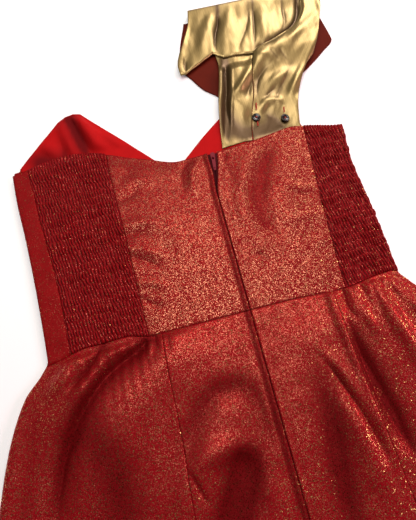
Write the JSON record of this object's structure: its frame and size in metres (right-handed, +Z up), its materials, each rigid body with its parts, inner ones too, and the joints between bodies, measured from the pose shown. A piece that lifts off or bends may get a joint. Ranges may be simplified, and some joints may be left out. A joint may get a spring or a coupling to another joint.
{
  "type": "one-shoulder sundress laid flat, back up",
  "caption": "One-shoulder sundress laid flat with its back up: shirred side-back panels, zipped back, gathered A-line skirt and a gold sash strap buttoned at the back.",
  "frame": {"origin": "on the surface that the dress lies on, below the middle of its outline", "axes": "+Z up from the surface, through the back of the dress; +Y from the hem towards the shoulder; +X towards the shoulder sash's side"},
  "size_m": [0.7813, 1.0506, 0.0214],
  "materials": {
    "glitter_cotton": "glitter-printed red cotton, matt ground with gold flecks",
    "smocked_cotton": "the same cotton, shirred on elastic thread",
    "red_lining": "plain matt cotton",
    "gold_satin": "satin, high lustre",
    "dark_red_lining": "plain lining, matt",
    "zip_polyester": "dyed polyester tape and painted zip parts",
    "dark_button": "polished dark resin"
  },
  "bodies": {
    "dress": {"bodice_back_left": "glitter_cotton", "bodice_back_right": "glitter_cotton", "smock_left": "smocked_cotton", "smock_right": "smocked_cotton", "bodice_front": "glitter_cotton", "front_lining": "red_lining", "skirt_back_left": "glitter_cotton", "skirt_back_right": "glitter_cotton", "skirt_side_left": "glitter_cotton", "skirt_side_right": "glitter_cotton", "skirt_front": "glitter_cotton", "zip_tape": "zip_polyester", "zip_slider": "zip_polyester", "strap_front": "dark_red_lining", "strap_upper": "gold_satin", "strap_end_left": "gold_satin", "strap_end_right": "gold_satin", "button_left": "dark_button", "button_right": "dark_button"},
    "pull_tab": {"zip_pull": "zip_polyester"}
  },
  "joints": [
    {"name": "zip_pull_hinge", "type": "hinge", "parent": "dress", "child": "pull_tab", "pos_m": [0.0388, 0.2917, 0.00795], "axis": [-0.9945, 0.1045, 0], "range_deg": [0, 160]}
  ]
}
